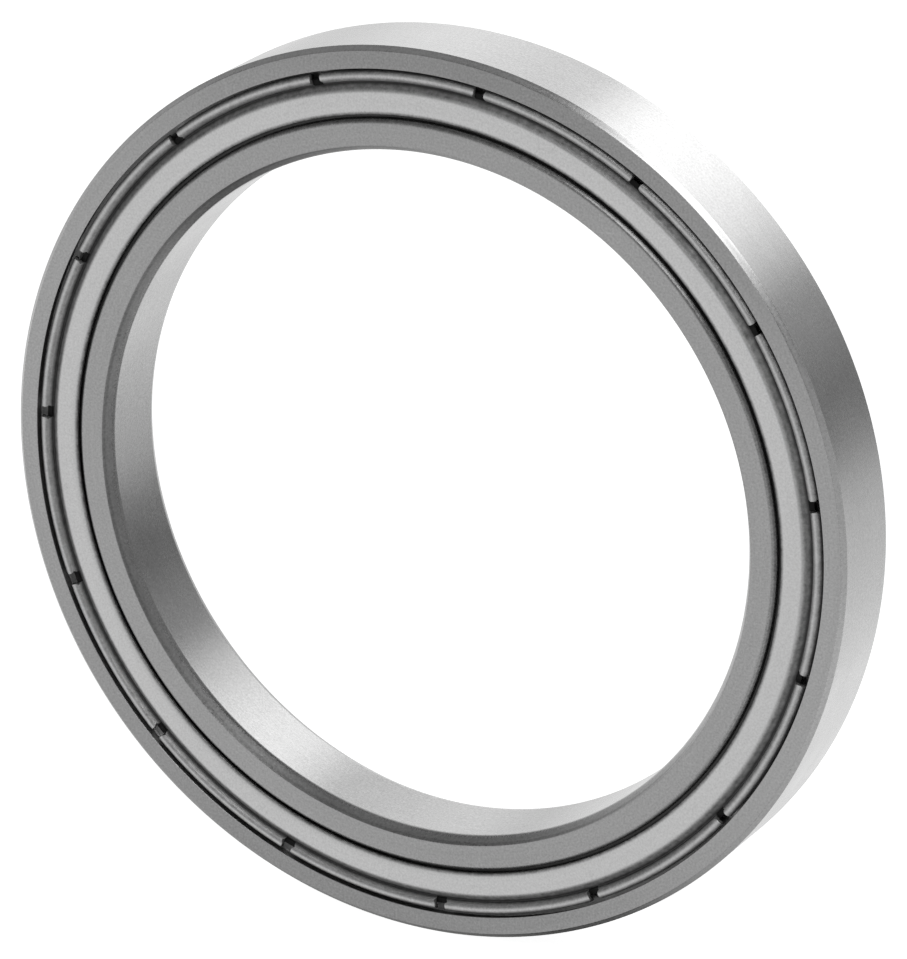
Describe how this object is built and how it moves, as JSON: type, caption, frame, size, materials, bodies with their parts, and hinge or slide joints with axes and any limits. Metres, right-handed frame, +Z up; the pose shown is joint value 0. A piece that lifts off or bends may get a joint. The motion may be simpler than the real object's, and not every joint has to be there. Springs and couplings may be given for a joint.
{
  "type": "ball bearing",
  "caption": "Thin-section deep groove ball bearing with a pressed metal shield crimped into each side of the outer ring.",
  "frame": {"origin": "centre of the bearing, on its axis and midway between its two faces", "axes": "+Y along the bearing's axis, away from the front face; +Z up, with the bearing standing on its rim"},
  "size_m": [0.065, 0.007, 0.065],
  "materials": {
    "ground_ring_steel": "hardened steel, ground faces, outside and bore",
    "pressed_shield_steel": "pressed steel sheet, satin",
    "polished_ball_steel": "hardened steel, lapped and polished",
    "pressed_cage_steel": "pressed steel strip, tumbled",
    "rivet_steel": "headed steel wire"
  },
  "bodies": {
    "outer_ring_body": {"outer_ring": "ground_ring_steel", "front_shield": "pressed_shield_steel", "rear_shield": "pressed_shield_steel"},
    "inner_ring_body": {"inner_ring": "ground_ring_steel"},
    "cage_body": {"cage_front": "pressed_cage_steel", "cage_rear": "pressed_cage_steel", "rivet_01": "rivet_steel", "rivet_02": "rivet_steel", "rivet_03": "rivet_steel", "rivet_04": "rivet_steel", "rivet_05": "rivet_steel", "rivet_06": "rivet_steel", "rivet_07": "rivet_steel", "rivet_08": "rivet_steel", "rivet_09": "rivet_steel", "rivet_10": "rivet_steel", "rivet_11": "rivet_steel", "rivet_12": "rivet_steel", "rivet_13": "rivet_steel", "rivet_14": "rivet_steel", "rivet_15": "rivet_steel", "rivet_16": "rivet_steel", "rivet_17": "rivet_steel", "rivet_18": "rivet_steel", "rivet_19": "rivet_steel", "rivet_20": "rivet_steel", "rivet_21": "rivet_steel", "rivet_22": "rivet_steel", "rivet_23": "rivet_steel", "rivet_24": "rivet_steel"},
    "ball_01_body": {"ball_01": "polished_ball_steel"},
    "ball_02_body": {"ball_02": "polished_ball_steel"},
    "ball_03_body": {"ball_03": "polished_ball_steel"},
    "ball_04_body": {"ball_04": "polished_ball_steel"},
    "ball_05_body": {"ball_05": "polished_ball_steel"},
    "ball_06_body": {"ball_06": "polished_ball_steel"},
    "ball_07_body": {"ball_07": "polished_ball_steel"},
    "ball_08_body": {"ball_08": "polished_ball_steel"},
    "ball_09_body": {"ball_09": "polished_ball_steel"},
    "ball_10_body": {"ball_10": "polished_ball_steel"},
    "ball_11_body": {"ball_11": "polished_ball_steel"},
    "ball_12_body": {"ball_12": "polished_ball_steel"},
    "ball_13_body": {"ball_13": "polished_ball_steel"},
    "ball_14_body": {"ball_14": "polished_ball_steel"},
    "ball_15_body": {"ball_15": "polished_ball_steel"},
    "ball_16_body": {"ball_16": "polished_ball_steel"},
    "ball_17_body": {"ball_17": "polished_ball_steel"},
    "ball_18_body": {"ball_18": "polished_ball_steel"},
    "ball_19_body": {"ball_19": "polished_ball_steel"},
    "ball_20_body": {"ball_20": "polished_ball_steel"},
    "ball_21_body": {"ball_21": "polished_ball_steel"},
    "ball_22_body": {"ball_22": "polished_ball_steel"},
    "ball_23_body": {"ball_23": "polished_ball_steel"},
    "ball_24_body": {"ball_24": "polished_ball_steel"}
  },
  "joints": [
    {"name": "inner_ring_spin", "type": "hinge", "parent": "outer_ring_body", "child": "inner_ring_body", "pos_m": [0, 0, 0], "axis": [0, 1, 0], "continuous": true},
    {"name": "cage_spin", "type": "hinge", "parent": "outer_ring_body", "child": "cage_body", "pos_m": [0, 0, 0], "axis": [0, 1, 0], "continuous": true},
    {"name": "ball_01_spin", "type": "hinge", "parent": "cage_body", "child": "ball_01_body", "pos_m": [0.02875, 0, 0], "axis": [0, 1, 0], "continuous": true},
    {"name": "ball_02_spin", "type": "hinge", "parent": "cage_body", "child": "ball_02_body", "pos_m": [0.02777, 0, 0.00744], "axis": [0, 1, 0], "continuous": true},
    {"name": "ball_03_spin", "type": "hinge", "parent": "cage_body", "child": "ball_03_body", "pos_m": [0.0249, 0, 0.01438], "axis": [0, 1, 0], "continuous": true},
    {"name": "ball_04_spin", "type": "hinge", "parent": "cage_body", "child": "ball_04_body", "pos_m": [0.02033, 0, 0.02033], "axis": [0, 1, 0], "continuous": true},
    {"name": "ball_05_spin", "type": "hinge", "parent": "cage_body", "child": "ball_05_body", "pos_m": [0.01438, 0, 0.0249], "axis": [0, 1, 0], "continuous": true},
    {"name": "ball_06_spin", "type": "hinge", "parent": "cage_body", "child": "ball_06_body", "pos_m": [0.00744, 0, 0.02777], "axis": [0, 1, 0], "continuous": true},
    {"name": "ball_07_spin", "type": "hinge", "parent": "cage_body", "child": "ball_07_body", "pos_m": [0, 0, 0.02875], "axis": [0, 1, 0], "continuous": true},
    {"name": "ball_08_spin", "type": "hinge", "parent": "cage_body", "child": "ball_08_body", "pos_m": [-0.00744, 0, 0.02777], "axis": [0, 1, 0], "continuous": true},
    {"name": "ball_09_spin", "type": "hinge", "parent": "cage_body", "child": "ball_09_body", "pos_m": [-0.01438, 0, 0.0249], "axis": [0, 1, 0], "continuous": true},
    {"name": "ball_10_spin", "type": "hinge", "parent": "cage_body", "child": "ball_10_body", "pos_m": [-0.02033, 0, 0.02033], "axis": [0, 1, 0], "continuous": true},
    {"name": "ball_11_spin", "type": "hinge", "parent": "cage_body", "child": "ball_11_body", "pos_m": [-0.0249, 0, 0.01438], "axis": [0, 1, 0], "continuous": true},
    {"name": "ball_12_spin", "type": "hinge", "parent": "cage_body", "child": "ball_12_body", "pos_m": [-0.02777, 0, 0.00744], "axis": [0, 1, 0], "continuous": true},
    {"name": "ball_13_spin", "type": "hinge", "parent": "cage_body", "child": "ball_13_body", "pos_m": [-0.02875, 0, 0], "axis": [0, 1, 0], "continuous": true},
    {"name": "ball_14_spin", "type": "hinge", "parent": "cage_body", "child": "ball_14_body", "pos_m": [-0.02777, 0, -0.00744], "axis": [0, 1, 0], "continuous": true},
    {"name": "ball_15_spin", "type": "hinge", "parent": "cage_body", "child": "ball_15_body", "pos_m": [-0.0249, 0, -0.01438], "axis": [0, 1, 0], "continuous": true},
    {"name": "ball_16_spin", "type": "hinge", "parent": "cage_body", "child": "ball_16_body", "pos_m": [-0.02033, 0, -0.02033], "axis": [0, 1, 0], "continuous": true},
    {"name": "ball_17_spin", "type": "hinge", "parent": "cage_body", "child": "ball_17_body", "pos_m": [-0.01438, 0, -0.0249], "axis": [0, 1, 0], "continuous": true},
    {"name": "ball_18_spin", "type": "hinge", "parent": "cage_body", "child": "ball_18_body", "pos_m": [-0.00744, 0, -0.02777], "axis": [0, 1, 0], "continuous": true},
    {"name": "ball_19_spin", "type": "hinge", "parent": "cage_body", "child": "ball_19_body", "pos_m": [0, 0, -0.02875], "axis": [0, 1, 0], "continuous": true},
    {"name": "ball_20_spin", "type": "hinge", "parent": "cage_body", "child": "ball_20_body", "pos_m": [0.00744, 0, -0.02777], "axis": [0, 1, 0], "continuous": true},
    {"name": "ball_21_spin", "type": "hinge", "parent": "cage_body", "child": "ball_21_body", "pos_m": [0.01438, 0, -0.0249], "axis": [0, 1, 0], "continuous": true},
    {"name": "ball_22_spin", "type": "hinge", "parent": "cage_body", "child": "ball_22_body", "pos_m": [0.02033, 0, -0.02033], "axis": [0, 1, 0], "continuous": true},
    {"name": "ball_23_spin", "type": "hinge", "parent": "cage_body", "child": "ball_23_body", "pos_m": [0.0249, 0, -0.01438], "axis": [0, 1, 0], "continuous": true},
    {"name": "ball_24_spin", "type": "hinge", "parent": "cage_body", "child": "ball_24_body", "pos_m": [0.02777, 0, -0.00744], "axis": [0, 1, 0], "continuous": true}
  ],
  "couplings": [
    {"joint": "cage_spin", "follows": "inner_ring_spin", "ratio": 0.46549},
    {"joint": "ball_01_spin", "follows": "inner_ring_spin", "ratio": -7.2091},
    {"joint": "ball_02_spin", "follows": "inner_ring_spin", "ratio": -7.2091},
    {"joint": "ball_03_spin", "follows": "inner_ring_spin", "ratio": -7.2091},
    {"joint": "ball_04_spin", "follows": "inner_ring_spin", "ratio": -7.2091},
    {"joint": "ball_05_spin", "follows": "inner_ring_spin", "ratio": -7.2091},
    {"joint": "ball_06_spin", "follows": "inner_ring_spin", "ratio": -7.2091},
    {"joint": "ball_07_spin", "follows": "inner_ring_spin", "ratio": -7.2091},
    {"joint": "ball_08_spin", "follows": "inner_ring_spin", "ratio": -7.2091},
    {"joint": "ball_09_spin", "follows": "inner_ring_spin", "ratio": -7.2091},
    {"joint": "ball_10_spin", "follows": "inner_ring_spin", "ratio": -7.2091},
    {"joint": "ball_11_spin", "follows": "inner_ring_spin", "ratio": -7.2091},
    {"joint": "ball_12_spin", "follows": "inner_ring_spin", "ratio": -7.2091},
    {"joint": "ball_13_spin", "follows": "inner_ring_spin", "ratio": -7.2091},
    {"joint": "ball_14_spin", "follows": "inner_ring_spin", "ratio": -7.2091},
    {"joint": "ball_15_spin", "follows": "inner_ring_spin", "ratio": -7.2091},
    {"joint": "ball_16_spin", "follows": "inner_ring_spin", "ratio": -7.2091},
    {"joint": "ball_17_spin", "follows": "inner_ring_spin", "ratio": -7.2091},
    {"joint": "ball_18_spin", "follows": "inner_ring_spin", "ratio": -7.2091},
    {"joint": "ball_19_spin", "follows": "inner_ring_spin", "ratio": -7.2091},
    {"joint": "ball_20_spin", "follows": "inner_ring_spin", "ratio": -7.2091},
    {"joint": "ball_21_spin", "follows": "inner_ring_spin", "ratio": -7.2091},
    {"joint": "ball_22_spin", "follows": "inner_ring_spin", "ratio": -7.2091},
    {"joint": "ball_23_spin", "follows": "inner_ring_spin", "ratio": -7.2091},
    {"joint": "ball_24_spin", "follows": "inner_ring_spin", "ratio": -7.2091}
  ]
}
